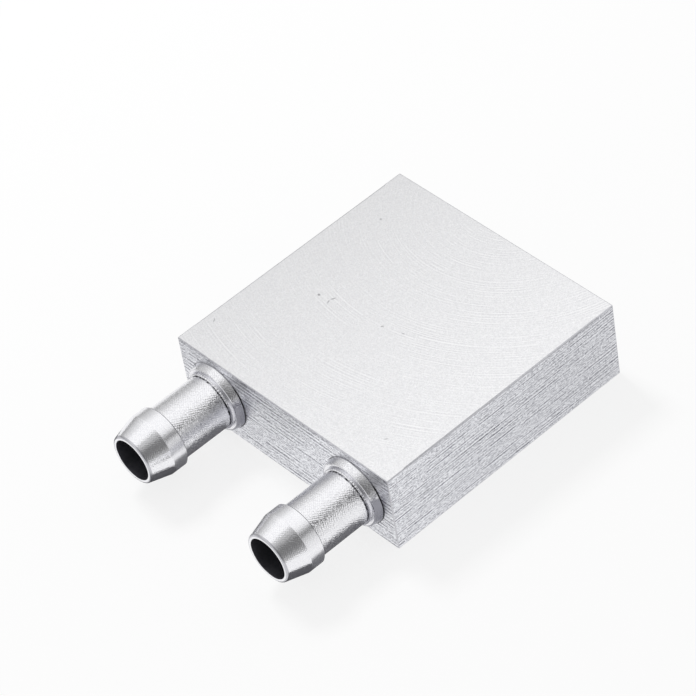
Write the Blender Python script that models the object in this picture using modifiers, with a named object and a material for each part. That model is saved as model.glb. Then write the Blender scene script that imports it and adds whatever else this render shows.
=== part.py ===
"""Water cooling block: a finned aluminium extrusion, two welded end plates and two hose nozzles.

Metres, +Z up. The origin is the centre of the block's bottom face, and the nozzles point along -Y.
Water enters one nozzle, runs back through one bank of channels, crosses the rear chamber
and comes forward through the other bank to the second nozzle.
"""
import math

import bmesh
import bpy
from mathutils import Matrix, Vector

MM = 0.001

# Block, outside
BLOCK_WIDTH = 40.0 * MM
BLOCK_DEPTH = 40.5 * MM
BLOCK_HEIGHT = 12.5 * MM
EDGE_BREAK = 0.2 * MM
END_PLATE_THICKNESS = 3.0 * MM

# Block, inside: two banks of channels on either side of a divider
FLOOR_WALL = 2.0 * MM
SIDE_WALL = 2.5 * MM
DIVIDER_THICKNESS = 2.5 * MM
FIN_THICKNESS = 1.2 * MM
FINS_PER_BANK = 4
CHANNEL_CORNER_RADIUS = 0.4 * MM

# Chambers milled into both ends of the extrusion, where the fins are cut back
CHAMBER_LENGTH = 5.0 * MM
CHAMBER_SKIM = 0.15 * MM
CHAMBER_CORNER_RADIUS = 1.0 * MM

# Nozzle: distances are measured out from the block's front face
NOZZLE_FROM_SIDE = 6.9 * MM
NOZZLE_LENGTH = 15.3 * MM
BORE_RADIUS = 3.1 * MM
TUBE_RADIUS = 4.0 * MM
TIP_WALL = 0.52 * MM
BARB_HEIGHT = 0.55 * MM
BARB_CONE_LENGTH = 3.4 * MM
BARB_BAND_LENGTH = 2.3 * MM
BARB_BACK_CHAMFER = 0.15 * MM
BARB_ROUND = 0.25 * MM
# The tip's corners are rounded, but never by more than these shares of its wall
TIP_ROUND = 0.3 * MM
TIP_ROUND_LIMIT = 0.6
BORE_ROUND = 0.05 * MM
BORE_ROUND_LIMIT = 0.3

# Collar rolled at the nozzle's root: a wide tapered ring on the block's face, then a groove and a thin lip.
# Heights and depths are measured from the tube's surface.
COLLAR_HEIGHT = 1.1 * MM
COLLAR_TAPER = 0.3 * MM
COLLAR_LENGTH = 1.25 * MM
COLLAR_ROUND = 0.18 * MM
COLLAR_FACE_DISH = 0.12 * MM
GROOVE_DEPTH = 0.1 * MM
GROOVE_LENGTH = 0.16 * MM
LIP_HEIGHT = 0.26 * MM
LIP_LENGTH = 0.26 * MM
LIP_ROUND = 0.1 * MM

# Welded joints are drawn open by this much
JOINT_GAP = 0.3 * MM
# How far a cutter reaches past the face it cuts
OVERSHOOT = 1.0 * MM

# Facets of round shapes: around a turned piece, along a fillet of its outline, and on a box's corner
TURNED_STEPS = 48
FILLET_STEPS = 3
CORNER_STEPS = 3
SHARP_ANGLE = math.radians(25)

FRONT_FACE_Y = -BLOCK_DEPTH / 2
NOZZLE_X = BLOCK_WIDTH / 2 - NOZZLE_FROM_SIDE
NOZZLE_Z = BLOCK_HEIGHT / 2
NOZZLE_HOLE_RADIUS = TUBE_RADIUS + JOINT_GAP
EXTRUSION_LENGTH = BLOCK_DEPTH - 2 * (END_PLATE_THICKNESS + JOINT_GAP)
CHANNEL_HEIGHT = BLOCK_HEIGHT - 2 * FLOOR_WALL
BANK_WIDTH = (BLOCK_WIDTH - 2 * SIDE_WALL - DIVIDER_THICKNESS) / 2
BANK_X = (DIVIDER_THICKNESS + BANK_WIDTH) / 2
CHANNEL_WIDTH = (BANK_WIDTH - FINS_PER_BANK * FIN_THICKNESS) / (FINS_PER_BANK + 1)


def clear_scene():
    for obj in list(bpy.data.objects):
        bpy.data.objects.remove(obj, do_unlink=True)


def make_collection(name):
    collection = bpy.data.collections.new(name)
    bpy.context.scene.collection.children.link(collection)
    return collection


def make_material(name, colour, roughness):
    """A bare aluminium finish: full metallic, with the colour and roughness of its working."""
    material = bpy.data.materials.new(name)
    material.use_nodes = True
    shader = material.node_tree.nodes["Principled BSDF"]
    shader.inputs["Base Color"].default_value = (*colour, 1.0)
    shader.inputs["Metallic"].default_value = 1.0
    shader.inputs["Roughness"].default_value = roughness
    return material


def add_object(name, bm, collection, material=None):
    mesh = bpy.data.meshes.new(name)
    bm.to_mesh(mesh)
    bm.free()
    obj = bpy.data.objects.new(name, mesh)
    collection.objects.link(obj)
    if material:
        mesh.materials.append(material)
    return obj


def rounded_box(size, is_rounded, radius):
    """A box about its own centre; is_rounded picks the edges, by their two ends, that get the radius."""
    bm = bmesh.new()
    bmesh.ops.create_cube(bm, size=1.0, matrix=Matrix.Diagonal((*size, 1.0)))
    edges = [e for e in bm.edges if is_rounded(e.verts[0].co, e.verts[1].co)]
    bmesh.ops.bevel(bm, geom=edges, offset=radius, segments=CORNER_STEPS, profile=0.5, affect="EDGES")
    return bm


def runs_along_y(a, b):
    return abs(a.y - b.y) > abs(a.x - b.x) + abs(a.z - b.z)


def runs_along_z(a, b):
    return abs(a.z - b.z) > abs(a.x - b.x) + abs(a.y - b.y)


def cut(obj, cutter):
    """Takes the cutter's shape out of the object, and hides the cutter."""
    cutter.hide_render = True
    cutter.display_type = "WIRE"
    boolean = obj.modifiers.new(cutter.name, "BOOLEAN")
    boolean.operation = "DIFFERENCE"
    boolean.solver = "EXACT"
    boolean.object = cutter


def channel_section_cutter(name, x, width, cutters):
    """One channel of the extrusion's section, right through, with the die's corner radius."""
    size = (width, EXTRUSION_LENGTH + 2 * OVERSHOOT, CHANNEL_HEIGHT)
    bm = rounded_box(size, runs_along_y, CHANNEL_CORNER_RADIUS)
    cutter = add_object(name, bm, cutters)
    cutter.location = (x, 0.0, BLOCK_HEIGHT / 2)
    return cutter


def chamber_cutter(name, x, width, end, cutters):
    """A chamber milled in from one end of the extrusion: end is -1 at the front, +1 at the rear."""
    length = CHAMBER_LENGTH + OVERSHOOT
    size = (width, length, CHANNEL_HEIGHT + 2 * CHAMBER_SKIM)
    bm = rounded_box(size, runs_along_z, CHAMBER_CORNER_RADIUS)
    cutter = add_object(name, bm, cutters)
    inner_end = EXTRUSION_LENGTH / 2 - CHAMBER_LENGTH
    cutter.location = (x, end * (inner_end + length / 2), BLOCK_HEIGHT / 2)
    return cutter


def build_channel_body(part, cutters, material):
    """The extrusion: floor, roof, sides, divider and fins in one piece."""
    bm = rounded_box((BLOCK_WIDTH, EXTRUSION_LENGTH, BLOCK_HEIGHT), runs_along_y, EDGE_BREAK)
    body = add_object("channel_body", bm, part, material)
    body.location = (0.0, 0.0, BLOCK_HEIGHT / 2)

    pitch = CHANNEL_WIDTH + FIN_THICKNESS
    for side, bank in ((-1, "left"), (1, "right")):
        for i in range(FINS_PER_BANK + 1):
            x = side * BANK_X + (i - FINS_PER_BANK / 2) * pitch
            cut(body, channel_section_cutter(f"{bank}_channel_{i + 1}", x, CHANNEL_WIDTH, cutters))
        cut(body, chamber_cutter(f"{bank}_front_chamber", side * BANK_X, BANK_WIDTH, -1, cutters))

    inside_width = 2 * BANK_WIDTH + DIVIDER_THICKNESS
    cut(body, chamber_cutter("rear_chamber", 0.0, inside_width, 1, cutters))


def build_end_plate(name, end, part, material):
    """A plate over one end of the extrusion, its outer edges broken all round."""
    def outer_edge(a, b):
        return runs_along_y(a, b) or (a.y * end > 0 and b.y * end > 0)

    bm = rounded_box((BLOCK_WIDTH, END_PLATE_THICKNESS, BLOCK_HEIGHT), outer_edge, EDGE_BREAK)
    plate = add_object(name, bm, part, material)
    plate.location = (0.0, end * (BLOCK_DEPTH - END_PLATE_THICKNESS) / 2, BLOCK_HEIGHT / 2)
    return plate


def nozzle_hole_cutter(name, side, cutters):
    bm = bmesh.new()
    bmesh.ops.create_cone(
        bm, cap_ends=True, segments=TURNED_STEPS, radius1=NOZZLE_HOLE_RADIUS, radius2=NOZZLE_HOLE_RADIUS,
        depth=END_PLATE_THICKNESS + 2 * OVERSHOOT, matrix=Matrix.Rotation(math.pi / 2, 4, "X"))
    cutter = add_object(name, bm, cutters)
    cutter.location = (side * NOZZLE_X, FRONT_FACE_Y + END_PLATE_THICKNESS / 2, NOZZLE_Z)
    cutter.data.shade_smooth()
    return cutter


def rounded_outline(corners):
    """Points of a closed outline: each corner is (radius, height, fillet), rounded by an arc."""
    points = []
    count = len(corners)
    for i, (x, z, fillet) in enumerate(corners):
        corner = Vector((x, z))
        to_last = (Vector(corners[i - 1][:2]) - corner).normalized()
        to_next = (Vector(corners[(i + 1) % count][:2]) - corner).normalized()
        if fillet == 0.0:
            points.append(corner)
            continue
        half_angle = to_last.angle(to_next) / 2
        tangent = fillet / math.tan(half_angle)
        centre = corner + (to_last + to_next).normalized() * fillet / math.sin(half_angle)
        start = corner + to_last * tangent - centre
        end = corner + to_next * tangent - centre
        sweep = start.angle_signed(end)
        for k in range(FILLET_STEPS + 1):
            points.append(centre + Matrix.Rotation(-sweep * k / FILLET_STEPS, 2) @ start)
    return points


def nozzle_outline():
    """Half section of the nozzle: out over the tip, down the outside, in at the root, up the bore."""
    tip_round = min(TIP_ROUND, TIP_ROUND_LIMIT * TIP_WALL)
    bore_round = min(BORE_ROUND, BORE_ROUND_LIMIT * TIP_WALL)
    barb_radius = TUBE_RADIUS + BARB_HEIGHT
    collar_radius = TUBE_RADIUS + COLLAR_HEIGHT
    groove_radius = TUBE_RADIUS - GROOVE_DEPTH
    lip_radius = TUBE_RADIUS + LIP_HEIGHT
    cone_end = NOZZLE_LENGTH - BARB_CONE_LENGTH
    band_end = cone_end - BARB_BAND_LENGTH
    lip_back = COLLAR_LENGTH + GROOVE_LENGTH
    lip_front = lip_back + LIP_LENGTH
    return rounded_outline([
        (BORE_RADIUS, NOZZLE_LENGTH, bore_round),
        (BORE_RADIUS + TIP_WALL, NOZZLE_LENGTH, tip_round),
        (barb_radius, cone_end, BARB_ROUND),
        (barb_radius, band_end, 0.0),
        (TUBE_RADIUS, band_end - BARB_BACK_CHAMFER, 0.0),
        (TUBE_RADIUS, lip_front, 0.0),
        (lip_radius, lip_front, LIP_ROUND),
        (lip_radius, lip_back, LIP_ROUND),
        (groove_radius, lip_back, 0.0),
        (groove_radius, COLLAR_LENGTH - COLLAR_FACE_DISH, 0.0),
        (collar_radius - COLLAR_TAPER, COLLAR_LENGTH, COLLAR_ROUND),
        (collar_radius, JOINT_GAP, 0.0),
        (TUBE_RADIUS, JOINT_GAP, 0.0),
        (TUBE_RADIUS, -END_PLATE_THICKNESS, 0.0),
        (BORE_RADIUS, -END_PLATE_THICKNESS, 0.0),
    ])


def build_nozzle(name, side, part, material):
    """A turned hose nozzle whose spigot passes through the front plate, axis along -Y."""
    bm = bmesh.new()
    verts = [bm.verts.new((point.x, 0.0, point.y)) for point in nozzle_outline()]
    for i, vert in enumerate(verts):
        bm.edges.new((vert, verts[(i + 1) % len(verts)]))
    nozzle = add_object(name, bm, part, material)
    nozzle.location = (side * NOZZLE_X, FRONT_FACE_Y, NOZZLE_Z)
    nozzle.rotation_euler = (math.pi / 2, 0.0, 0.0)

    screw = nozzle.modifiers.new("turned", "SCREW")
    screw.angle = 2 * math.pi
    screw.steps = TURNED_STEPS
    screw.render_steps = TURNED_STEPS
    screw.use_merge_vertices = True
    screw.merge_threshold = 0.01 * MM
    turned = nozzle.evaluated_get(bpy.context.evaluated_depsgraph_get())
    nozzle.data = bpy.data.meshes.new_from_object(turned)
    nozzle.modifiers.clear()
    nozzle.data.shade_smooth()
    nozzle.data.set_sharp_from_angle(angle=SHARP_ANGLE)


def build():
    clear_scene()
    part = make_collection("water_cooling_block")
    cutters = make_collection("cutters")

    drawn_finish = make_material("drawn_aluminium", (0.78, 0.78, 0.80), 0.34)
    ground_finish = make_material("ground_aluminium", (0.76, 0.76, 0.78), 0.40)
    turned_finish = make_material("turned_aluminium", (0.82, 0.82, 0.84), 0.22)

    build_channel_body(part, cutters, drawn_finish)
    build_end_plate("rear_end_plate", 1, part, ground_finish)
    front_plate = build_end_plate("front_end_plate", -1, part, ground_finish)
    for side, name in ((-1, "left"), (1, "right")):
        cut(front_plate, nozzle_hole_cutter(f"{name}_nozzle_hole", side, cutters))
        build_nozzle(f"{name}_nozzle", side, part, turned_finish)


build()
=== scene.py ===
import math

import bmesh
import bpy
from mathutils import Matrix, Vector


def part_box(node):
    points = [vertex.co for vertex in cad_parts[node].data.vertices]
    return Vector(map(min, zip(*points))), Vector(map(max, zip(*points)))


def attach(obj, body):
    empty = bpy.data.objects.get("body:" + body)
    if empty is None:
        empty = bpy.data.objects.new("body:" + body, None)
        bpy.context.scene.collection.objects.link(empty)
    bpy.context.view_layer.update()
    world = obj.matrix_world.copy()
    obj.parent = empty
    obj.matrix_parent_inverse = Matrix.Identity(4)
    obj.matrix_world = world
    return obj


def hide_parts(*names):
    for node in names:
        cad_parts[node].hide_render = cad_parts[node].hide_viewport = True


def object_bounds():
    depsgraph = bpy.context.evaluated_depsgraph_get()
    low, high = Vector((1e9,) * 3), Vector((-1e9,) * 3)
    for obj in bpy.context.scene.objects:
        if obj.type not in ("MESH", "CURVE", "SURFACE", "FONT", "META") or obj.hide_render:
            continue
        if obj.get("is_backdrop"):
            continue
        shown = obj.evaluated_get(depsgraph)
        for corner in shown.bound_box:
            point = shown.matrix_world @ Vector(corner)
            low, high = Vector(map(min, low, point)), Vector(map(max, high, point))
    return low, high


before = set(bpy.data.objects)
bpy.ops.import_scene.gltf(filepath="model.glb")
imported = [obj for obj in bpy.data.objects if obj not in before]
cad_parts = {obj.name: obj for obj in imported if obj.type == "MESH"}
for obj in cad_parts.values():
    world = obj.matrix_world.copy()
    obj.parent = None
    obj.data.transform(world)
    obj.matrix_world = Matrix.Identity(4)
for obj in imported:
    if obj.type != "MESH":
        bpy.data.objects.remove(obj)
cad_low, cad_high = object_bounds()


# Extrusion
# The middle of the block is one drawn aluminium bar with two banks of water channels in it,
# its ends milled back to chambers. The plates are welded on to it and all is faced flush.

MM = 0.001
WELD_GAP = 0.3 * MM          # the solids stand this far apart, and the real pieces are one across the weld
EDGE_BREAK = 0.14 * MM       # width of the plates' broken edges; the extrusion's are 0.2 mm, from the CAD
ON_FACE = 0.01 * MM          # a point this near to a plane lies on it
MERGE_WITHIN = 0.001 * MM
FLAT = 0.999                 # a face whose normal is this straight lies on a worked face of the block
SMOOTH_ANGLE = math.radians(40)


def srgb(hex_colour):
    """A colour written as sRGB hex, in the linear values that a shader takes."""
    parts = [int(hex_colour[i:i + 2], 16) / 255 for i in (1, 3, 5)]
    linear = [c / 12.92 if c <= 0.04045 else ((c + 0.055) / 1.055) ** 2.4 for c in parts]
    return (*linear, 1.0)


def add(tree, kind, inputs=None, **settings):
    """A node with its own settings, and its inputs set to values or joined to other nodes' outputs."""
    node = tree.nodes.new(kind)
    for name, value in settings.items():
        setattr(node, name, value)
    for key, value in (inputs or {}).items():
        if isinstance(value, bpy.types.NodeSocket):
            tree.links.new(value, node.inputs[key])
        else:
            node.inputs[key].default_value = value
    return node


def metal(name, roughness):
    """A bare metal: its material, node tree, shader and position in mm."""
    material = bpy.data.materials.new(name)
    material.use_nodes = True
    tree = material.node_tree
    shader = tree.nodes["Principled BSDF"]
    shader.inputs["Metallic"].default_value = 1.0
    shader.inputs["Roughness"].default_value = roughness
    place = add(tree, "ShaderNodeTexCoord")
    in_mm = add(tree, "ShaderNodeVectorMath", {0: place.outputs["Object"], "Scale": 1 / MM},
                operation="SCALE")
    return material, tree, shader, in_mm.outputs[0]


def speckle(tree, in_mm, size):
    """A random value from 0 to 1 in each small cell, whose size along the three axes is in mm."""
    per_mm = [1 / length for length in size]
    place = add(tree, "ShaderNodeVectorMath", {0: in_mm, 1: per_mm}, operation="MULTIPLY")
    cell = add(tree, "ShaderNodeVectorMath", {0: place.outputs[0]}, operation="FLOOR")
    value = add(tree, "ShaderNodeTexWhiteNoise", {"Vector": cell.outputs[0]}, noise_dimensions="3D")
    return value.outputs["Value"]


MARK_COLOUR = "#4A4A50"
MARK_CORE = 0.4              # share of a pit's or scratch's half width that is evenly dark
MARK_DEPTH = 0.03 * MM


def wear_marks(tree, in_mm, marks):
    """How dark each pit or scratch is, and 0 beside it. A mark is its middle, its turn about Z in radians,
    its half length, its half width and its darkness. Its lengths are in mm."""
    total = None
    for middle, turn, half_length, half_width, darkness in marks:
        own = add(tree, "ShaderNodeMapping",
                  {"Vector": in_mm, "Location": middle, "Rotation": (0.0, 0.0, turn),
                   "Scale": (half_length, half_width, half_width)}, vector_type="TEXTURE")
        away = add(tree, "ShaderNodeVectorMath", {0: own.outputs[0]}, operation="LENGTH")
        dark = add(tree, "ShaderNodeMapRange",
                   {"Value": away.outputs["Value"], 1: MARK_CORE, 2: 1.0, 3: darkness, 4: 0.0})
        if total is None:
            total = dark.outputs[0]
        else:
            darkest = add(tree, "ShaderNodeMath", {0: total, 1: dark.outputs[0]}, operation="MAXIMUM")
            total = darkest.outputs[0]
    return total


STROKE_NARROW = 4.0          # a stroke is a sine to this power, so it is much narrower than its row
STROKE_BESIDE = 0.45         # how strongly its raised edges show, beside its middle
STROKE_RARE = 2.0            # the power that makes deep strokes rarer than shallow ones
ROW_DRIFT = 0.3              # mm that the rows of strokes stray from even spacing


def strokes(tree, across, along, pitch, length):
    """Rows of a tool's broken strokes, pitch and length in mm. Each is -1 along its middle and above 0
    beside it where it is deep, and 0 where it is worn away."""
    drift = add(tree, "ShaderNodeTexNoise", {"W": across, "Scale": 1.0, "Detail": 0.0}, noise_dimensions="1D")
    drifted = add(tree, "ShaderNodeMath", {0: drift.outputs["Fac"], 1: ROW_DRIFT, 2: across},
                  operation="MULTIPLY_ADD")
    row_place = add(tree, "ShaderNodeMath", {0: drifted.outputs[0], 1: 1 / pitch}, operation="MULTIPLY")
    row = add(tree, "ShaderNodeMath", {0: row_place.outputs[0]}, operation="FLOOR")
    start = add(tree, "ShaderNodeTexWhiteNoise", {"W": row.outputs[0]}, noise_dimensions="1D")
    along_place = add(tree, "ShaderNodeMath", {0: along, 1: 1 / length, 2: start.outputs["Value"]},
                      operation="MULTIPLY_ADD")
    part = add(tree, "ShaderNodeMath", {0: along_place.outputs[0]}, operation="FLOOR")
    cell = add(tree, "ShaderNodeCombineXYZ", {"X": row.outputs[0], "Y": part.outputs[0]})
    depth = add(tree, "ShaderNodeTexWhiteNoise", {"Vector": cell.outputs[0]}, noise_dimensions="2D")
    deep = add(tree, "ShaderNodeMath", {0: depth.outputs["Value"], 1: STROKE_RARE}, operation="POWER")
    turn = add(tree, "ShaderNodeMath", {0: row_place.outputs[0], 1: math.pi}, operation="MULTIPLY")
    wave = add(tree, "ShaderNodeMath", {0: turn.outputs[0]}, operation="SINE")
    wave = add(tree, "ShaderNodeMath", {0: wave.outputs[0]}, operation="ABSOLUTE")
    wave = add(tree, "ShaderNodeMath", {0: wave.outputs[0], 1: STROKE_NARROW}, operation="POWER")
    wave = add(tree, "ShaderNodeMapRange", {"Value": wave.outputs[0], 3: STROKE_BESIDE, 4: -1.0})
    both = add(tree, "ShaderNodeMath", {0: wave.outputs[0], 1: deep.outputs[0]}, operation="MULTIPLY")
    return both.outputs[0]


ROUGHNESS_VARIES = 0.06
FACED_COLOUR = "#FEFEFF"
FACED_DULL_COLOUR = "#D6D6DA"
FACED_TONE = 0.74            # where the surface lies between its dull colour and its bright one
FACED_CONTRAST = 0.18
FACED_GRAIN = 0.14           # mm: the grain of the metal, drawn as coarse as it needs to show
FACED_ROUGHNESS = 0.3
FACING_DEPTH = 0.002 * MM
TOP_Z = 12.5                 # mm: the height of the upper face
CUTTER_CENTRE = (-4.0, 26.5, TOP_Z)     # mm: the facing cutter's arcs run round it
CUTTER_REACH = 28.0          # mm: about the arcs' radius on the face
CUTTER_FEED = 0.44           # mm between two arcs
ARC_LENGTH = 8.0             # mm of an arc that is cut equally deep
ARC_SHARE = 3.9              # the arcs' strength beside the grain's
ARC_MOST = (9.0, 5.0, TOP_Z)            # mm: the place round which the arcs show most
ARC_REACH = 24.0             # mm from there to where they show least
ARC_NEAR = 0.22              # what nearness adds to the patches there, and beyond that reach
ARC_FAR = -0.18
PATCHES_PER_MM = 0.11        # so a patch is about 9 mm across
PATCH_FAINT = 0.35           # at this value of a patch the arcs show least, and from the next on fully
PATCH_FULL = 0.75
ARC_LEAST = 0.15
TOP_MARKS = [
    ((-11.3, -2.9, TOP_Z), 0.0, 0.26, 0.22, 0.6),
    ((-9.25, -2.2, TOP_Z), 1.1, 0.5, 0.14, 0.45),
    ((-9.35, -3.0, TOP_Z), 1.9, 0.45, 0.13, 0.4),
    ((-0.5, -1.6, TOP_Z), 0.7, 0.3, 0.18, 0.42),
    ((2.6, -0.8, TOP_Z), 0.4, 0.28, 0.16, 0.35),
    ((-15.4, 12.3, TOP_Z), 0.0, 0.25, 0.2, 0.35),
    ((-18.6, -15.0, TOP_Z), 2.2, 0.5, 0.14, 0.35),
    ((14.5, -15.2, TOP_Z), 0.9, 0.4, 0.14, 0.3),
]


def faced_aluminium():
    """Fly-cut aluminium: the eye sees a pale satin sheet with fine arcs, and a few pits and scratches."""
    material, tree, shader, in_mm = metal("fly_cut_aluminium", FACED_ROUGHNESS)
    from_centre = add(tree, "ShaderNodeVectorMath", {0: in_mm, 1: CUTTER_CENTRE}, operation="SUBTRACT")
    distance = add(tree, "ShaderNodeVectorMath", {0: from_centre.outputs[0]}, operation="LENGTH")
    part = add(tree, "ShaderNodeSeparateXYZ", {0: from_centre.outputs[0]})
    angle = add(tree, "ShaderNodeMath", {0: part.outputs["X"], 1: part.outputs["Y"]}, operation="ARCTAN2")
    round_it = add(tree, "ShaderNodeMath", {0: angle.outputs[0], 1: CUTTER_REACH}, operation="MULTIPLY")
    arcs = strokes(tree, distance.outputs["Value"], round_it.outputs[0], CUTTER_FEED, ARC_LENGTH)
    # The arcs' bright edges show more in some patches than in others, and most near one place
    away = add(tree, "ShaderNodeVectorMath", {0: in_mm, 1: ARC_MOST}, operation="DISTANCE")
    near = add(tree, "ShaderNodeMapRange",
               {"Value": away.outputs["Value"], 2: ARC_REACH, 3: ARC_NEAR, 4: ARC_FAR})
    patch = add(tree, "ShaderNodeTexNoise", {"Vector": in_mm, "Scale": PATCHES_PER_MM, "Detail": 2.0})
    patch = add(tree, "ShaderNodeMath", {0: near.outputs[0], 1: patch.outputs["Fac"]})
    patch_share = add(tree, "ShaderNodeMapRange",
                      {"Value": patch.outputs[0], 1: PATCH_FAINT, 2: PATCH_FULL, 3: -ARC_LEAST, 4: -1.0})
    arc_height = add(tree, "ShaderNodeMath", {0: arcs, 1: patch_share.outputs[0]}, operation="MULTIPLY")
    grain = speckle(tree, in_mm, (FACED_GRAIN, FACED_GRAIN, FACED_GRAIN))
    grain_height = add(tree, "ShaderNodeMapRange", {"Value": grain, 3: -1.0, 4: 1.0})
    height = add(tree, "ShaderNodeMath", {0: arc_height.outputs[0], 1: ARC_SHARE, 2: grain_height.outputs[0]},
                 operation="MULTIPLY_ADD")
    tone = add(tree, "ShaderNodeMath", {0: height.outputs[0], 1: FACED_CONTRAST, 2: FACED_TONE},
               operation="MULTIPLY_ADD", use_clamp=True)
    colour = add(tree, "ShaderNodeMix",
                 {0: tone.outputs[0], 6: srgb(FACED_DULL_COLOUR), 7: srgb(FACED_COLOUR)}, data_type="RGBA")
    marks = wear_marks(tree, in_mm, TOP_MARKS)
    marked = add(tree, "ShaderNodeMix", {0: marks, 6: colour.outputs[2], 7: srgb(MARK_COLOUR)},
                 data_type="RGBA")
    tree.links.new(marked.outputs[2], shader.inputs["Base Color"])
    rough = add(tree, "ShaderNodeMapRange", {"Value": grain, 3: FACED_ROUGHNESS + ROUGHNESS_VARIES,
                                             4: FACED_ROUGHNESS - ROUGHNESS_VARIES / 2})
    tree.links.new(rough.outputs[0], shader.inputs["Roughness"])
    sunk = add(tree, "ShaderNodeMath", {0: marks, 1: -MARK_DEPTH / FACING_DEPTH, 2: arc_height.outputs[0]},
               operation="MULTIPLY_ADD")
    bump = add(tree, "ShaderNodeBump", {"Strength": 1.0, "Distance": FACING_DEPTH, "Height": sunk.outputs[0]})
    tree.links.new(bump.outputs[0], shader.inputs["Normal"])
    return material


GROUND_COLOUR = "#FAFBFF"
GROUND_DARK_COLOUR = "#80808A"
STREAK_LENGTH = 4.6          # mm: one scratch of the grinding belt
DASH_PITCH = 0.36            # mm between two rows of the short dashes that lie between the scratches
DASH_LENGTH = 0.9            # mm
GRIT_SIZE = (0.22, 0.22, 0.12)          # mm: the scratches' torn floors, as coarse as they need to show
STREAK_SHARE = 0.68          # how much each of the three darkens and brightens the metal
DASH_SHARE = 0.5
GRIT_SHARE = 0.66
MARK_GONE = 0.9              # a mark is gone where the grit is this bright
MARK_WHOLE = 0.3             # and whole where the grit is this dark
RIGHT_X = 20.0               # mm: the places of the right side and of the front plate's face
FRONT_Y = -20.25
ALONG_Y = 1.5708             # radians: a quarter turn
RIGHT_MARKS = [
    ((RIGHT_X, -4.0, 7.45), ALONG_Y, 5.4, 0.13, 0.75),
    ((RIGHT_X, -14.5, 6.05), ALONG_Y, 2.6, 0.12, 0.6),
    ((RIGHT_X, -11.5, 2.65), ALONG_Y, 2.6, 0.12, 0.55),
    ((RIGHT_X, -16.7, 11.8), ALONG_Y, 0.3, 0.2, 1.0),
    ((RIGHT_X, -7.4, 10.6), ALONG_Y, 1.2, 0.11, 0.6),
    ((RIGHT_X, -3.6, 10.65), ALONG_Y, 1.1, 0.11, 0.6),
]
FRONT_MARKS = [
    ((-0.2, FRONT_Y, 2.9), 0.0, 3.0, 0.14, 0.55),
    ((-3.0, FRONT_Y, 4.6), 0.0, 0.3, 0.2, 0.6),
    ((-0.3, FRONT_Y, 9.4), 0.0, 0.25, 0.18, 0.5),
]


def ground_aluminium(name, along, marks, roughness, pitch, strength, level):
    """Belt-ground aluminium: the eye sees a matt grey face with straight broken scratches that run along one
    axis, a pitch in mm apart, and grit between them. The level is its mean tone."""
    material, tree, shader, in_mm = metal(name, roughness)
    part = add(tree, "ShaderNodeSeparateXYZ", {0: in_mm})
    grit = speckle(tree, in_mm, GRIT_SIZE)
    tone = add(tree, "ShaderNodeMath",
               {0: grit, 1: GRIT_SHARE * strength, 2: level - GRIT_SHARE * strength / 2},
               operation="MULTIPLY_ADD")
    for row_pitch, length, share in ((pitch, STREAK_LENGTH, STREAK_SHARE),
                                     (DASH_PITCH, DASH_LENGTH, DASH_SHARE)):
        lines = strokes(tree, part.outputs["Z"], part.outputs[along], row_pitch, length)
        tone = add(tree, "ShaderNodeMath", {0: lines, 1: share * strength, 2: tone.outputs[0]},
                   operation="MULTIPLY_ADD")
    tone.use_clamp = True
    colour = add(tree, "ShaderNodeMix",
                 {0: tone.outputs[0], 6: srgb(GROUND_DARK_COLOUR), 7: srgb(GROUND_COLOUR)}, data_type="RGBA")
    dark = wear_marks(tree, in_mm, marks)
    broken = add(tree, "ShaderNodeMapRange", {"Value": grit, 1: MARK_GONE, 2: MARK_WHOLE})
    dark = add(tree, "ShaderNodeMath", {0: dark, 1: broken.outputs[0]}, operation="MULTIPLY")
    marked = add(tree, "ShaderNodeMix", {0: dark.outputs[0], 6: colour.outputs[2], 7: srgb(MARK_COLOUR)},
                 data_type="RGBA")
    tree.links.new(marked.outputs[2], shader.inputs["Base Color"])
    rough = add(tree, "ShaderNodeMapRange", {"Value": tone.outputs[0], 3: roughness + ROUGHNESS_VARIES,
                                             4: roughness - ROUGHNESS_VARIES})
    tree.links.new(rough.outputs[0], shader.inputs["Roughness"])
    return material


def plain_metal(name, roughness, grains_per_mm, depth, bright, dull, spread=0.5):
    """A bare surface with an even grain, in two tones. A small spread parts the tones sharply."""
    material, tree, shader, in_mm = metal(name, roughness)
    grain = add(tree, "ShaderNodeTexNoise",
                {"Vector": in_mm, "Scale": grains_per_mm, "Detail": 3.0, "Roughness": 0.6})
    tone = add(tree, "ShaderNodeMapRange", {"Value": grain.outputs["Fac"], 1: 0.5 - spread, 2: 0.5 + spread})
    colour = add(tree, "ShaderNodeMix", {0: tone.outputs[0], 6: srgb(dull), 7: srgb(bright)},
                 data_type="RGBA")
    tree.links.new(colour.outputs[2], shader.inputs["Base Color"])
    bump = add(tree, "ShaderNodeBump", {"Strength": 1.0, "Distance": depth, "Height": grain.outputs["Fac"]})
    tree.links.new(bump.outputs[0], shader.inputs["Normal"])
    return material


faced_finish = faced_aluminium()
side_finish = ground_aluminium("belt_ground_side_aluminium", along="Y", marks=RIGHT_MARKS, roughness=0.48,
                               pitch=0.5, strength=1.0, level=0.75)
plate_finish = ground_aluminium("belt_ground_plate_aluminium", along="X", marks=FRONT_MARKS, roughness=0.40,
                                pitch=0.7, strength=1.2, level=0.74)
# A file has broken the edges, and each shows as a thin line that catches the light
edge_finish = plain_metal("deburred_edge_aluminium", roughness=0.28, grains_per_mm=2.5, depth=0.002 * MM,
                          bright="#E0E0E4", dull="#B4B4BA")
# The channels are as the die left them, dull and a little darker
inside_finish = plain_metal("drawn_inside_aluminium", roughness=0.5, grains_per_mm=1.5, depth=0.004 * MM,
                            bright="#C9CACD", dull="#9A9B9F")
BLOCK_FINISHES = [faced_finish, side_finish, plate_finish, edge_finish, inside_finish]
FACED, SIDE, PLATE, EDGE, INSIDE = range(len(BLOCK_FINISHES))


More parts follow.
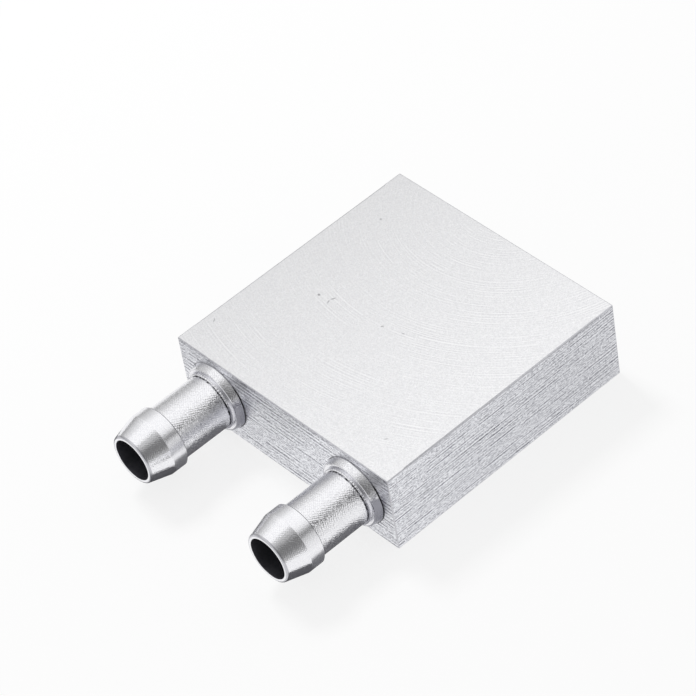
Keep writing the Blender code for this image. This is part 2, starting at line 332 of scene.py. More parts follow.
def finish_block_piece(bm, name, outer_y):
    """Makes the piece, with each face's finish from where it lies. outer_y are the block's ends on it."""
    for face in bm.faces:
        centre = face.calc_center_median()
        normal = face.normal
        on_top = centre.z > cad_high.z - ON_FACE or centre.z < cad_low.z + ON_FACE
        on_side = abs(centre.x) > cad_high.x - ON_FACE
        on_end = any(abs(centre.y - y) < ON_FACE for y in outer_y)
        near_side = abs(centre.x) > cad_high.x - EDGE_BREAK
        near_end = any(abs(centre.y - y) < EDGE_BREAK for y in outer_y)
        near_top = min(cad_high.z - centre.z, centre.z - cad_low.z) < EDGE_BREAK
        face.smooth = True
        if on_top and abs(normal.z) > FLAT:
            face.material_index = FACED
        elif on_side and abs(normal.x) > FLAT:
            face.material_index = SIDE
        elif on_end and abs(normal.y) > FLAT:
            face.material_index = PLATE
        elif near_side + near_end + near_top >= 2:
            face.material_index = EDGE
        else:
            face.material_index = INSIDE
    for edge in bm.edges:
        edge.smooth = len(edge.link_faces) == 2 and edge.calc_face_angle() < SMOOTH_ANGLE
    mesh = bpy.data.meshes.new(name)
    bm.to_mesh(mesh)
    bm.free()
    piece = bpy.data.objects.new(name, mesh)
    bpy.context.scene.collection.objects.link(piece)
    for finish in BLOCK_FINISHES:
        mesh.materials.append(finish)
    weighted = piece.modifiers.new("flat faces stay flat", "WEIGHTED_NORMAL")
    weighted.keep_sharp = True
    weighted.weight = 100
    return piece


bm = bmesh.new()
bm.from_mesh(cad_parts["channel_body"].data)
bmesh.ops.remove_doubles(bm, verts=bm.verts, dist=MERGE_WITHIN)
low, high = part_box("channel_body")
for vert in bm.verts:
    if vert.co.y > high.y - MERGE_WITHIN:
        vert.co.y += WELD_GAP
    elif vert.co.y < low.y + MERGE_WITHIN:
        vert.co.y -= WELD_GAP
extrusion = finish_block_piece(bm, "finned_extrusion", ())
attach(extrusion, "root")
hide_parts("channel_body")


# End plates
# Each end of the bar is closed by a 3 mm aluminium plate, welded on and ground flush all round.
# The front one has two drilled holes that the nozzles' spigots are pressed into.

NOZZLE_X = 13.1 * MM
NOZZLE_Z = 6.25 * MM
SPIGOT_RADIUS = 4.0 * MM
HOLE_CLEARANCE = 0.02 * MM
HOLE_STEPS = 96
DRILL_LENGTH = 8.0 * MM      # its middle is on the plate's face, so half of it reaches through the plate
EDGE_STEPS = 4


def end_plate(node, end):
    """A plate with its outer edges broken, and its outer Y: end is -1 at the front, +1 at the rear."""
    low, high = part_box(node)
    bm = bmesh.new()
    place = Matrix.Translation((low + high) / 2) @ Matrix.Diagonal((*(high - low), 1.0))
    bmesh.ops.create_cube(bm, size=1.0, matrix=place)
    outer = high.y if end > 0 else low.y
    edges = [e for e in bm.edges if abs(e.verts[0].co.y - e.verts[1].co.y) > MERGE_WITHIN
             or all(abs(v.co.y - outer) < MERGE_WITHIN for v in e.verts)]
    bmesh.ops.bevel(bm, geom=edges, offset=EDGE_BREAK, segments=EDGE_STEPS, profile=0.5, affect="EDGES")
    return bm, outer


bm, outer = end_plate("rear_end_plate", 1)
rear_plate = finish_block_piece(bm, "rear_plate", (outer,))
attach(rear_plate, "root")
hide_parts("rear_end_plate")

bm, front_face = end_plate("front_end_plate", -1)
plate_mesh = bpy.data.meshes.new("front plate before drilling")
bm.to_mesh(plate_mesh)
bm.free()
undrilled = bpy.data.objects.new("undrilled", plate_mesh)
bpy.context.scene.collection.objects.link(undrilled)
drills = []
for side in (-1, 1):
    bm = bmesh.new()
    place = Matrix.Translation((side * NOZZLE_X, front_face, NOZZLE_Z)) @ Matrix.Rotation(math.pi / 2, 4, "X")
    bmesh.ops.create_cone(bm, cap_ends=True, segments=HOLE_STEPS, radius1=SPIGOT_RADIUS + HOLE_CLEARANCE,
                          radius2=SPIGOT_RADIUS + HOLE_CLEARANCE, depth=DRILL_LENGTH, matrix=place)
    drill_mesh = bpy.data.meshes.new("drill")
    bm.to_mesh(drill_mesh)
    bm.free()
    drill = bpy.data.objects.new("drill", drill_mesh)
    bpy.context.scene.collection.objects.link(drill)
    drills.append(drill)
    boolean = undrilled.modifiers.new("hole", "BOOLEAN")
    boolean.operation = "DIFFERENCE"
    boolean.solver = "EXACT"
    boolean.object = drill
drilled = undrilled.evaluated_get(bpy.context.evaluated_depsgraph_get())
bm = bmesh.new()
bm.from_mesh(drilled.to_mesh())
for spent in [undrilled, *drills]:
    bpy.data.objects.remove(spent)
front_plate = finish_block_piece(bm, "front_plate", (front_face,))
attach(front_plate, "root")
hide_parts("front_end_plate")


# Nozzles
# Two hose nozzles turned from aluminium bar, each with one barb and a bored water way.
# The root is rolled over into a collar with a thin lip in front of it, tight on the front plate.

NOZZLE_LENGTH = 15.3 * MM
BORE_RADIUS = 3.1 * MM
BORE_ROUND = 0.05 * MM
TUBE_RADIUS = 4.0 * MM       # heights and depths are measured from the tube's surface
TIP_WALL = 0.52 * MM
TIP_ROUND = 0.3 * MM
TIP_SHADED = 0.085             # share of the cone's length behind the tip that is painted grey with shade
BARB_HEIGHT = 0.55 * MM
BARB_CONE_LENGTH = 3.4 * MM
BARB_BAND_LENGTH = 2.3 * MM
BARB_BACK_CHAMFER = 0.15 * MM
BARB_ROUND = 0.25 * MM
SHADE_NOTCH = 0.14 * MM        # width and depth of the notch at the band's back edge, which holds a line of painted shade
COLLAR_HEIGHT = 1.1 * MM
COLLAR_TAPER = 0.3 * MM
COLLAR_LENGTH = 1.25 * MM
COLLAR_ROUND = 0.18 * MM
COLLAR_FACE_DISH = 0.12 * MM
COLLAR_SEAT = 0.12 * MM      # the collar stops this far from the plate, on a dark film of painted contact shadow
# The film under the collar is painted contact shadow: its height and thickness
SHADOW_FILM_HEIGHT = 1.15 * MM
SHADOW_FILM_THICKNESS = 0.096 * MM
GROOVE_DEPTH = 0.1 * MM
GROOVE_LENGTH = 0.16 * MM
LIP_HEIGHT = 0.26 * MM
LIP_LENGTH = 0.26 * MM
LIP_ROUND = 0.1 * MM
LIP_TEETH = 60               # the rolling tool's marks round the lip
LIP_TEETH_HEIGHT = 0.03 * MM
CLEAR_OF_LIP = 0.1 * MM      # nothing is rolled this far past the lip, nor toothed this low on it
ROOT_CUT_DEPTH = 0.12 * MM   # a shallow cut in the tube, just in front of the lip
ROOT_CUT_LENGTH = 0.16 * MM
ROOT_CUT_FLOOR = 0.112 * MM
SPIGOT_LENGTH = 3.0 * MM
ROLL_WAVES = [(3, 1.0, 1), (7, 0.6, 2), (13, 0.4, 0)]      # lobes round the collar, share, turn with the side
ROLL_OUT = 0.035 * MM        # how uneven rolling has left the collar outward, and along the nozzle
ROLL_ALONG = 0.03 * MM
ROLL_LOBES = 5               # lobes of the unevenness along the nozzle, and their turn with the side
ROLL_TURN = 3
ROLL_FROM = 0.3 * MM         # nearer the plate than this, it is even along the nozzle
TURNED_STEPS = 360
TURNED_SMOOTH_ANGLE = math.radians(25)
FILLET_STEPS = 6
LENGTH_STEP = 0.6 * MM       # rings along the straight parts stand this far apart

TURNED_COLOUR = "#FAFAFC"
PAINTED_SHADE_COLOUR = "#92929A"
SHADOW_FILM_COLOUR = "#B4B4B8"
SHADOW_FILM_DARK_COLOUR = "#2A2A2E"
TOOL_FEED = 0.20             # mm along the nozzle between two turning marks
CHATTER = 0.20               # mm round the nozzle between two chatter marks, as coarse as they need to show
DOT_PITCH = 0.34             # mm: the dots that rings and chatter make, as coarse as they need to show
DOTS_ROUND = 74              # dots round the tube, about as far apart as along it
MOTTLE_REACH = 4.0           # mm that the painted shade's edge wanders up and down


def lower_shade_share(tree, in_mm, grain, top, bottom):
    """How much painted shade lies low down: 1 low on the collar and 0 high on it, with a broken edge between:
    top and bottom are levels in mm.
    """
    part = add(tree, "ShaderNodeSeparateXYZ", {0: in_mm})
    mottle = add(tree, "ShaderNodeTexNoise",
                 {"Vector": in_mm, "Scale": 1 / grain, "Detail": 4.0, "Roughness": 0.8})
    level = add(tree, "ShaderNodeMath", {0: mottle.outputs["Fac"], 1: MOTTLE_REACH, 2: part.outputs["Z"]},
                operation="MULTIPLY_ADD")
    share = add(tree, "ShaderNodeMapRange",
                {"Value": level.outputs[0], 1: top + MOTTLE_REACH / 2, 2: bottom + MOTTLE_REACH / 2})
    return share.outputs[0]


def turned_aluminium(name, roughness, groove_depth, dot_share, dull, shaded_below=False):
    """Turned aluminium: bright, with fine rings, so highlights run along it and break into specks."""
    material, tree, shader, in_mm = metal(name, roughness)
    chatter_place = add(tree, "ShaderNodeVectorMath",
                        {0: in_mm, 1: (1 / CHATTER, 1 / TOOL_FEED, 1 / CHATTER)}, operation="MULTIPLY")
    chatter = add(tree, "ShaderNodeTexNoise",
                  {"Vector": chatter_place.outputs[0], "Scale": 1.0, "Detail": 1.0})
    # The tool's own pattern: rings crossed by chatter, as rows of dots round the nozzle's axis
    part = add(tree, "ShaderNodeSeparateXYZ", {0: in_mm})
    across = add(tree, "ShaderNodeMath", {0: part.outputs["X"]}, operation="ABSOLUTE")
    across = add(tree, "ShaderNodeMath", {0: across.outputs[0], 1: NOZZLE_X / MM}, operation="SUBTRACT")
    up = add(tree, "ShaderNodeMath", {0: part.outputs["Z"], 1: NOZZLE_Z / MM}, operation="SUBTRACT")
    turn = add(tree, "ShaderNodeMath", {0: across.outputs[0], 1: up.outputs[0]}, operation="ARCTAN2")
    turn = add(tree, "ShaderNodeMath", {0: turn.outputs[0], 1: DOTS_ROUND}, operation="MULTIPLY")
    round_wave = add(tree, "ShaderNodeMath", {0: turn.outputs[0]}, operation="SINE")
    along = add(tree, "ShaderNodeMath", {0: part.outputs["Y"], 1: 2 * math.pi / DOT_PITCH},
                operation="MULTIPLY")
    along_wave = add(tree, "ShaderNodeMath", {0: along.outputs[0]}, operation="SINE")
    dots = add(tree, "ShaderNodeMath", {0: round_wave.outputs[0], 1: along_wave.outputs[0]},
               operation="MULTIPLY")
    height = add(tree, "ShaderNodeMath", {0: dots.outputs[0], 1: dot_share, 2: chatter.outputs["Fac"]},
                 operation="MULTIPLY_ADD")
    bump = add(tree, "ShaderNodeBump",
               {"Strength": 1.0, "Distance": groove_depth, "Height": height.outputs[0]})
    tree.links.new(bump.outputs[0], shader.inputs["Normal"])
    # The grooves' floors are duller, over the middle half of the pattern's range
    tone = add(tree, "ShaderNodeMapRange", {"Value": height.outputs[0], 1: 0.25, 2: 0.75})
    colour = add(tree, "ShaderNodeMix", {0: tone.outputs[0], 6: srgb(dull), 7: srgb(TURNED_COLOUR)},
                 data_type="RGBA")
    if shaded_below:
        # painted shade: grey over the collar's lower half
        painted_shade_share = lower_shade_share(tree, in_mm, grain=0.6, top=9.1, bottom=7.8)
        colour = add(tree, "ShaderNodeMix", {0: painted_shade_share, 6: colour.outputs[2], 7: srgb(PAINTED_SHADE_COLOUR)},
                     data_type="RGBA")
    tree.links.new(colour.outputs[2], shader.inputs["Base Color"])
    return material


tube_finish = turned_aluminium("turned_tube_aluminium", roughness=0.07, groove_depth=0.036 * MM,
                               dot_share=0.22, dull="#E6E6EA")
barb_finish = turned_aluminium("turned_barb_aluminium", roughness=0.13, groove_depth=0.018 * MM,
                               dot_share=0.14, dull="#ECECF0")
# The band and the collar's face are rubbed smooth by the hose, so their shine is soft and even
band_finish = turned_aluminium("polished_band_aluminium", roughness=0.26, groove_depth=0.01 * MM,
                               dot_share=0.1, dull="#F0F0F4")
# The rolling tool has left the collar duller, and its lower half is darkened with painted shade
collar_finish = turned_aluminium("rolled_collar_aluminium", roughness=0.14, groove_depth=0.024 * MM,
                                 dot_share=0.1, dull="#DCDCE0", shaded_below=True)
# Drilled, so dull; its dark grey, darker than the outside, is painted shade inside the bore and on the
# spigot's end
bore_shade_finish = plain_metal("bore_painted_shade", roughness=0.5, grains_per_mm=2.0, depth=0.006 * MM,
                          bright="#85858C", dull="#5A5A62")
# A film under the collar, painted contact shadow: a thin line that is almost black low down
shadow_film_finish, tree, shader, in_mm = metal("painted_contact_shadow_film", 0.5)
# painted contact shadow, darkest low down
dark = lower_shade_share(tree, in_mm, grain=0.9, top=10.2, bottom=9.4)
colour = add(tree, "ShaderNodeMix", {0: dark, 6: srgb(SHADOW_FILM_COLOUR), 7: srgb(SHADOW_FILM_DARK_COLOUR)},
             data_type="RGBA")
tree.links.new(colour.outputs[2], shader.inputs["Base Color"])
# The floor of a narrow cut, bright and dark by turns: its dark dots are painted shade in the cut
cut_shade_finish = plain_metal("tool_cut_painted_shade", roughness=0.4, grains_per_mm=2.2, depth=0.006 * MM,
                         bright="#E6E6EA", dull="#3A3A40", spread=0.08)
# The notch at the band's back edge, painted dark grey: a thin line of painted shade
shade_line_finish = plain_metal("painted_shade_line", roughness=0.45, grains_per_mm=1.6, depth=0.004 * MM,
                          bright="#B0B0B6", dull="#4A4A50", spread=0.15)
# The tip's outer round is painted grey, a line of painted shade beside its bright rim
tip_shade_finish = plain_metal("tip_painted_shade", roughness=0.3, grains_per_mm=2.0, depth=0.003 * MM,
                         bright="#DCDCE0", dull="#B4B4BA")
NOZZLE_FINISHES = [tube_finish, barb_finish, band_finish, collar_finish, bore_shade_finish, shadow_film_finish, cut_shade_finish,
                   shade_line_finish, tip_shade_finish]
TUBE, BARB, BAND, COLLAR, BORE, SHADOW_FILM, CUT, SHADE_LINE, TIP = range(len(NOZZLE_FINISHES))


def rounded_outline(corners):
    """Points of a closed outline. A corner is (radius, distance out, fillet, finish of the run after it)."""
    points = []
    for i, (radius, out, fillet, finish) in enumerate(corners):
        corner = Vector((radius, out))
        if fillet == 0.0:
            points.append((corner, finish))
            continue
        last = Vector(corners[i - 1][:2])
        following = Vector(corners[(i + 1) % len(corners)][:2])
        to_last = (last - corner).normalized()
        to_next = (following - corner).normalized()
        half_angle = to_last.angle(to_next) / 2
        tangent = fillet / math.tan(half_angle)
        centre = corner + (to_last + to_next).normalized() * fillet / math.sin(half_angle)
        start = corner + to_last * tangent - centre
        end = corner + to_next * tangent - centre
        sweep = start.angle_signed(end)
        for k in range(FILLET_STEPS + 1):
            turned = Matrix.Rotation(-sweep * k / FILLET_STEPS, 2) @ start
            points.append((centre + turned, finish))
    return points


def divided(points):
    """The outline with its long straight runs divided."""
    result = []
    for i, (point, finish) in enumerate(points):
        following = points[(i + 1) % len(points)][0]
        parts = max(1, math.ceil((following - point).length / LENGTH_STEP))
        for k in range(parts):
            result.append((point.lerp(following, k / parts), finish))
    return result


cone_end = NOZZLE_LENGTH - BARB_CONE_LENGTH
band_end = cone_end - BARB_BAND_LENGTH
lip_back = COLLAR_LENGTH + GROOVE_LENGTH
lip_front = lip_back + LIP_LENGTH
barb_radius = TUBE_RADIUS + BARB_HEIGHT
collar_radius = TUBE_RADIUS + COLLAR_HEIGHT
tip_corner = Vector((BORE_RADIUS + TIP_WALL, NOZZLE_LENGTH))
behind_tip = tip_corner.lerp(Vector((barb_radius, cone_end)), TIP_SHADED)
outline = divided(rounded_outline([
    (BORE_RADIUS, NOZZLE_LENGTH, BORE_ROUND, BARB),
    (*tip_corner, TIP_ROUND, TIP),
    (*behind_tip, 0.0, BARB),
    (barb_radius, cone_end, BARB_ROUND, BAND),
    (barb_radius, band_end + SHADE_NOTCH, 0.0, SHADE_LINE),
    (barb_radius - SHADE_NOTCH, band_end + SHADE_NOTCH, 0.0, SHADE_LINE),
    (barb_radius - SHADE_NOTCH, band_end, 0.0, TUBE),
    (TUBE_RADIUS, band_end - BARB_BACK_CHAMFER, 0.0, TUBE),
    (TUBE_RADIUS, lip_front + ROOT_CUT_LENGTH, 0.0, CUT),
    (TUBE_RADIUS - ROOT_CUT_DEPTH, lip_front + ROOT_CUT_FLOOR, 0.0, CUT),
    (TUBE_RADIUS - ROOT_CUT_DEPTH, lip_front, 0.0, COLLAR),
    (TUBE_RADIUS + LIP_HEIGHT, lip_front, LIP_ROUND, COLLAR),
    (TUBE_RADIUS + LIP_HEIGHT, lip_back, LIP_ROUND, BAND),
    (TUBE_RADIUS - GROOVE_DEPTH, lip_back, 0.0, BAND),
    (TUBE_RADIUS - GROOVE_DEPTH, COLLAR_LENGTH - COLLAR_FACE_DISH, 0.0, BAND),
    (collar_radius - COLLAR_TAPER, COLLAR_LENGTH, COLLAR_ROUND, COLLAR),
    (collar_radius, COLLAR_SEAT, 0.0, SHADOW_FILM),
    (TUBE_RADIUS + SHADOW_FILM_HEIGHT, SHADOW_FILM_THICKNESS, 0.0, SHADOW_FILM),
    (TUBE_RADIUS + SHADOW_FILM_HEIGHT, 0.0, 0.0, SHADOW_FILM),
    (TUBE_RADIUS, 0.0, 0.0, TUBE),
    (TUBE_RADIUS, -SPIGOT_LENGTH, 0.0, BORE),
    (BORE_RADIUS, -SPIGOT_LENGTH, 0.0, BORE),
]))


def nozzle(name, side):
    """One nozzle turned from the outline, with the small unevenness that rolling leaves on its collar."""
    bm = bmesh.new()
    rings = []
    for point, finish in outline:
        rolled = max(0.0, min(1.0, (point.x - TUBE_RADIUS) / COLLAR_HEIGHT))
        if point.y > lip_front + CLEAR_OF_LIP or point.y < 0:
            rolled = 0.0
        toothed = lip_back < point.y < lip_front + ON_FACE and point.x > TUBE_RADIUS + CLEAR_OF_LIP
        ring = []
        for k in range(TURNED_STEPS):
            angle = 2 * math.pi * k / TURNED_STEPS
            wave = sum(share * math.sin(lobes * angle + turn * side) for lobes, share, turn in ROLL_WAVES)
            radius = point.x + rolled * ROLL_OUT * wave
            if toothed:
                radius += LIP_TEETH_HEIGHT * math.sin(LIP_TEETH * angle)
            out = point.y
            if point.y > ROLL_FROM:
                out += rolled * ROLL_ALONG * math.sin(ROLL_LOBES * angle + ROLL_TURN * side)
            across = side * NOZZLE_X + radius * math.cos(angle)
            ring.append(bm.verts.new((across, front_face - out, NOZZLE_Z + radius * math.sin(angle))))
        rings.append(ring)
    for i, (point, finish) in enumerate(outline):
        ring = rings[i]
        following = rings[(i + 1) % len(rings)]
        for k in range(TURNED_STEPS):
            k2 = (k + 1) % TURNED_STEPS
            face = bm.faces.new((ring[k], ring[k2], following[k2], following[k]))
            face.material_index = finish
            face.smooth = True
    bmesh.ops.recalc_face_normals(bm, faces=bm.faces)
    for edge in bm.edges:
        edge.smooth = edge.calc_face_angle() < TURNED_SMOOTH_ANGLE
    mesh = bpy.data.meshes.new(name)
    bm.to_mesh(mesh)
    bm.free()
    piece = bpy.data.objects.new(name, mesh)
    bpy.context.scene.collection.objects.link(piece)
    for finish in NOZZLE_FINISHES:
        mesh.materials.append(finish)
    return piece


for name, side in (("left", -1), ("right", 1)):
    turned = nozzle(f"{name}_hose_nozzle", side)
    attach(turned, "root")
    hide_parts(f"{name}_nozzle")


# Studio
# The block lies on white paper in a small light tent, greyer low down on the left and open towards the
# camera. The metal mirrors them, with a dark spot in the tent at the back on the right, grey cards and
# slats on the paper at the nozzles, which are painted shadow where the nozzles' shadows fall, and paper
# that gets a little darker towards the back.

FLOOR_SIZE = 6.0
FLOOR_COLOUR = "#F7F7F7"
SHADOW_KEPT = 0.2            # share of the floor's own shading in what the camera sees of it
FALL_FROM = -16.0 * MM       # the mirrored floor gets darker from here to there, down to this level
FALL_TO = 22.0 * MM
FALL_LEVEL = 0.82


def stage_mesh(name, verts, faces, material):
    """A thing of the studio, which isn't part of the object."""
    mesh = bpy.data.meshes.new(name)
    mesh.from_pydata(verts, [], faces)
    thing = bpy.data.objects.new(name, mesh)
    bpy.context.scene.collection.objects.link(thing)
    mesh.materials.append(material)
    thing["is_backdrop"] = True
    return thing


def stage_quads(name, quads, material):
    """Flat things of the studio, each given by its four corners."""
    verts = [corner for quad in quads for corner in quad]
    faces = [tuple(range(4 * i, 4 * i + 4)) for i in range(len(quads))]
    return stage_mesh(name, verts, faces, material)


def stage_tree(name):
    """A material and its empty node tree."""
    material = bpy.data.materials.new(name)
    material.use_nodes = True
    material.node_tree.nodes.clear()
    return material, material.node_tree


def only_mirrored(thing):
    """Hides a thing of the studio from everything but the metal that mirrors it."""
    thing.visible_camera = False
    thing.visible_diffuse = False
    thing.visible_shadow = False


def seen_directly(tree, path):
    """1 for a ray from the camera or one that metal or glass sends on, 0 for the rest."""
    either = add(tree, "ShaderNodeMath", {0: path.outputs["Is Camera Ray"], 1: path.outputs["Is Glossy Ray"]},
                 operation="MAXIMUM")
    any_of_them = add(tree, "ShaderNodeMath", {0: either.outputs[0], 1: path.outputs["Is Transmission Ray"]},
                      operation="MAXIMUM")
    return any_of_them.outputs[0]


def direction(azimuth, elevation):
    """The way from the object to a place seen at these angles, with azimuth 0 at the front."""
    return Vector((math.sin(azimuth) * math.cos(elevation), -math.cos(azimuth) * math.cos(elevation),
                   math.sin(elevation)))


# White paper: plain white to the eye, but for the object's soft shadow
material, tree = stage_tree("white paper")
path = add(tree, "ShaderNodeLightPath")
paper = add(tree, "ShaderNodeBsdfDiffuse", {"Color": srgb(FLOOR_COLOUR)})
place = add(tree, "ShaderNodeTexCoord")
part = add(tree, "ShaderNodeSeparateXYZ", {0: place.outputs["Object"]})
far = add(tree, "ShaderNodeMapRange",
          {"Value": part.outputs["Y"], 1: FALL_FROM, 2: FALL_TO, 3: 1.0, 4: FALL_LEVEL})
white_level = add(tree, "ShaderNodeMapRange",
                  {"Value": path.outputs["Is Camera Ray"], 3: far.outputs[0], 4: 1.0})
white = add(tree, "ShaderNodeEmission", {"Strength": white_level.outputs[0]})
share = add(tree, "ShaderNodeMath", {0: seen_directly(tree, path), 1: 1 - SHADOW_KEPT}, operation="MULTIPLY")
mixed = add(tree, "ShaderNodeMixShader", {0: share.outputs[0], 1: paper.outputs[0], 2: white.outputs[0]})
add(tree, "ShaderNodeOutputMaterial", {"Surface": mixed.outputs[0]})
half = FLOOR_SIZE / 2
stage_quads("floor", [[(-half, -half, 0), (half, -half, 0), (half, half, 0), (-half, half, 0)]], material)

# The tent's levels of white, by the direction from its middle: from where, to where, level there and there
TENT_RADIUS = 0.2
TENT_STEPS = 48
TENT_CENTRE = Vector((0.0, -28.0, 6.0)) * MM
LOW_WALL = {1: -0.9, 2: 0.7, 3: 0.2, 4: 0.75}              # along X, at the wall's foot
WALL_CLIMB = {1: 0.0, 2: 0.88, 3: 0.0, 4: 1.0}             # along Z, up from the foot's level to full white
CLIMB_POWER = 0.6
WALL_SLOPE = {1: -0.72, 2: -0.34, 3: 0.86, 4: 1.26}        # along X, over the whole wall
WALL_FALL = {1: 0.0, 2: 1.0, 3: 1.1, 4: 0.82}              # along Y, over the whole wall
WALL_MOST = 1.03
OPENING = direction(math.radians(62), math.radians(33))
OPENING_CORE = {1: math.radians(18), 2: math.radians(40), 3: 0.19, 4: 0.58}     # by the angle from its middle
OPENING_RIM_FROM = math.radians(46)
OPENING_RIM_TO = math.radians(53)
DARK_SPOT = Vector((0.664, 0.419, 0.619)).normalized()
DARK_SPOT_RIM = {1: math.radians(8), 2: math.radians(12), 3: 0.12, 4: 1.0}      # by the angle from its middle

material, tree = stage_tree("tent wall")
place = add(tree, "ShaderNodeTexCoord")
outward = add(tree, "ShaderNodeVectorMath", {0: place.outputs["Object"]}, operation="NORMALIZE")
part = add(tree, "ShaderNodeSeparateXYZ", {0: outward.outputs[0]})
foot = add(tree, "ShaderNodeMapRange", {"Value": part.outputs["X"], **LOW_WALL})
climb = add(tree, "ShaderNodeMapRange", {"Value": part.outputs["Z"], **WALL_CLIMB})
climb = add(tree, "ShaderNodeMath", {0: climb.outputs[0], 1: CLIMB_POWER}, operation="POWER")
wall = add(tree, "ShaderNodeMapRange", {"Value": climb.outputs[0], 3: foot.outputs[0], 4: 1.0})
slope = add(tree, "ShaderNodeMapRange", {"Value": part.outputs["X"], **WALL_SLOPE})
fall = add(tree, "ShaderNodeMapRange", {"Value": part.outputs["Y"], **WALL_FALL})
slope = add(tree, "ShaderNodeMath", {0: slope.outputs[0], 1: fall.outputs[0]}, operation="MULTIPLY")
wall = add(tree, "ShaderNodeMath", {0: wall.outputs[0], 1: slope.outputs[0]}, operation="MULTIPLY")
wall = add(tree, "ShaderNodeMath", {0: wall.outputs[0], 1: WALL_MOST}, operation="MINIMUM")
towards = add(tree, "ShaderNodeVectorMath", {0: outward.outputs[0], 1: OPENING}, operation="DOT_PRODUCT")
angle = add(tree, "ShaderNodeMath", {0: towards.outputs["Value"]}, operation="ARCCOSINE")
core = add(tree, "ShaderNodeMapRange", {"Value": angle.outputs[0], **OPENING_CORE})
hole = add(tree, "ShaderNodeMapRange", {"Value": angle.outputs[0], 1: OPENING_RIM_FROM, 2: OPENING_RIM_TO,
                                        3: core.outputs[0], 4: 1.0}, interpolation_type="SMOOTHSTEP")
level = add(tree, "ShaderNodeMath", {0: wall.outputs[0], 1: hole.outputs[0]}, operation="MULTIPLY")
towards = add(tree, "ShaderNodeVectorMath", {0: outward.outputs[0], 1: DARK_SPOT}, operation="DOT_PRODUCT")
angle = add(tree, "ShaderNodeMath", {0: towards.outputs["Value"]}, operation="ARCCOSINE")
spot = add(tree, "ShaderNodeMapRange", {"Value": angle.outputs[0], **DARK_SPOT_RIM})
level = add(tree, "ShaderNodeMath", {0: level.outputs[0], 1: spot.outputs[0]}, operation="MULTIPLY")
glow = add(tree, "ShaderNodeEmission", {"Strength": level.outputs[0]})
add(tree, "ShaderNodeOutputMaterial", {"Surface": glow.outputs[0]})
verts = []
faces = []
rows = TENT_STEPS // 4
for j in range(rows + 1):
    elevation = math.pi / 2 * j / rows
    for k in range(TENT_STEPS):
        turn = 2 * math.pi * k / TENT_STEPS
        verts.append((TENT_RADIUS * math.cos(elevation) * math.cos(turn),
                      TENT_RADIUS * math.cos(elevation) * math.sin(turn), TENT_RADIUS * math.sin(elevation)))
        if j < rows:
            k2 = (k + 1) % TENT_STEPS
            row = j * TENT_STEPS
            row_above = row + TENT_STEPS
            faces.append((row + k, row + k2, row_above + k2, row_above + k))
tent = stage_mesh("tent", verts, faces, material)
tent.location = TENT_CENTRE
only_mirrored(tent)

# Grey slats stand on the paper where the nozzles' shadows fall, and are clear from behind: painted shadow,
# which only the metal mirrors
SHADOW_SLAT_COLOUR = "#98989C"
SLAT_FROM = -1.0 * MM        # how far they reach across, from the nozzle's axis
SLAT_TO = 10.5 * MM
SLAT_FOOT = 0.05 * MM
SLAT_HEIGHT = 1.0 * MM
FIRST_SLAT = -30.0 * MM
SLAT_STEP = 0.3 * MM
SLATS = 32

material, tree = stage_tree("painted shadow slat")
front = add(tree, "ShaderNodeBsdfDiffuse", {"Color": srgb(SHADOW_SLAT_COLOUR)})
clear = add(tree, "ShaderNodeBsdfTransparent")
geometry = add(tree, "ShaderNodeNewGeometry")
one_sided = add(tree, "ShaderNodeMixShader",
                {0: geometry.outputs["Backfacing"], 1: front.outputs[0], 2: clear.outputs[0]})
add(tree, "ShaderNodeOutputMaterial", {"Surface": one_sided.outputs[0]})
quads = []
for side in (-1, 1):
    x1 = side * NOZZLE_X + SLAT_FROM
    x2 = side * NOZZLE_X + SLAT_TO
    for k in range(SLATS):
        y = FIRST_SLAT + k * SLAT_STEP
        quads.append([(x1, y, SLAT_FOOT), (x2, y, SLAT_FOOT), (x2, y, SLAT_HEIGHT), (x1, y, SLAT_HEIGHT)])
only_mirrored(stage_quads("painted_shadow_slats", quads, material))

# Grey cards lie on the paper under the nozzles' cones and in front of their tips, seen only by the metal;
# under the cones they are painted shadow, as the slats are
CARD_LIFT = 0.03 * MM
CARDS = {                    # colour, then from and to across and from and to along the nozzles, in mm
    "grey_cards": ("#808084", [(-45.0, -5.0, -36.5, -29.5), (12.5, 22.0, -36.5, -29.5),
                               (-11.5, -5.0, -41.0, -36.5)]),
    "dark_card": ("#3A3A3E", [(-45.0, -25.0, -41.0, -36.5)]),
}
for name, (colour, places) in CARDS.items():
    material, tree = stage_tree(name)
    card = add(tree, "ShaderNodeBsdfDiffuse", {"Color": srgb(colour)})
    add(tree, "ShaderNodeOutputMaterial", {"Surface": card.outputs[0]})
    quads = []
    for x1, x2, y1, y2 in places:
        corners = ((x1, y1), (x2, y1), (x2, y2), (x1, y2))
        quads.append([(x * MM, y * MM, CARD_LIFT) for x, y in corners])
    only_mirrored(stage_quads(name, quads, material))

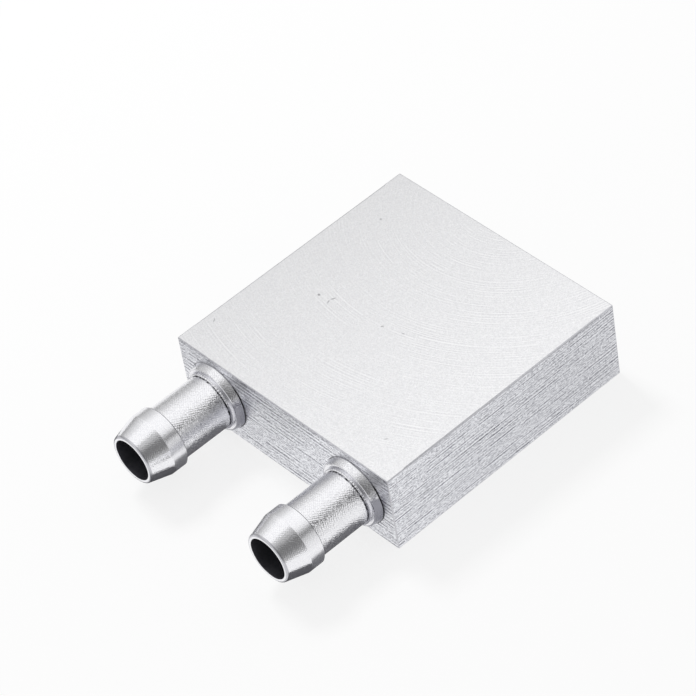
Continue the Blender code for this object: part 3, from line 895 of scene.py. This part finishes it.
# The room's light, plain white where it is seen
ROOM_LEVEL = 0.6
world = bpy.data.worlds.new("studio")
bpy.context.scene.world = world
world.use_nodes = True
tree = world.node_tree
tree.nodes.clear()
seen = seen_directly(tree, add(tree, "ShaderNodeLightPath"))
level = add(tree, "ShaderNodeMapRange", {"Value": seen, 3: ROOM_LEVEL, 4: 1.0})
sky = add(tree, "ShaderNodeBackground", {"Color": (1.0, 1.0, 1.0, 1.0), "Strength": level.outputs[0]})
add(tree, "ShaderNodeOutputWorld", {"Surface": sky.outputs[0]})

# A soft lamp high on the left, which gives the shadow its direction
LAMP_PLACE = Vector((-0.3, 0.03, 0.42))
LAMP_SIZE = 0.12
LAMP_POWER = 1.2
lamp = bpy.data.lights.new("key lamp", "AREA")
lamp.shape = "SQUARE"
lamp.size = LAMP_SIZE
lamp.energy = LAMP_POWER
lamp_object = bpy.data.objects.new("key lamp", lamp)
bpy.context.scene.collection.objects.link(lamp_object)
lamp_object.location = LAMP_PLACE
lamp_object.rotation_mode = "QUATERNION"
lamp_object.rotation_quaternion = LAMP_PLACE.to_track_quat("Z", "Y")
lamp_object.visible_camera = False
lamp_object.visible_glossy = False


# Camera
# A long lens looks down on the nozzles' end from the right, tilted a little. Its place and its length
# were solved from the edges of the block in the photograph.

ROLL = math.radians(10.26)
DISTANCE = 484.68 * MM
AIM = Vector((-3.295, -5.595, 9.807)) * MM
SENSOR_WIDTH = 36.0          # mm, as Blender takes them
FOCAL_LENGTH = 192.631
NEAREST = 0.01
FARTHEST = 20.0
camera_data = bpy.data.cameras.new("camera")
camera_data.sensor_width = SENSOR_WIDTH
camera_data.lens = FOCAL_LENGTH
camera_data.clip_start = NEAREST
camera_data.clip_end = FARTHEST
camera = bpy.data.objects.new("camera", camera_data)
bpy.context.scene.collection.objects.link(camera)
back = direction(math.radians(54.014), math.radians(44.473))
camera.location = AIM + back * DISTANCE
camera.rotation_mode = "QUATERNION"
camera.rotation_quaternion = (-back).to_track_quat("-Z", "Y") @ Matrix.Rotation(-ROLL, 3, "Z").to_quaternion()
bpy.context.scene.camera = camera
bpy.context.scene.view_settings.view_transform = "Standard"

low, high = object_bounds()
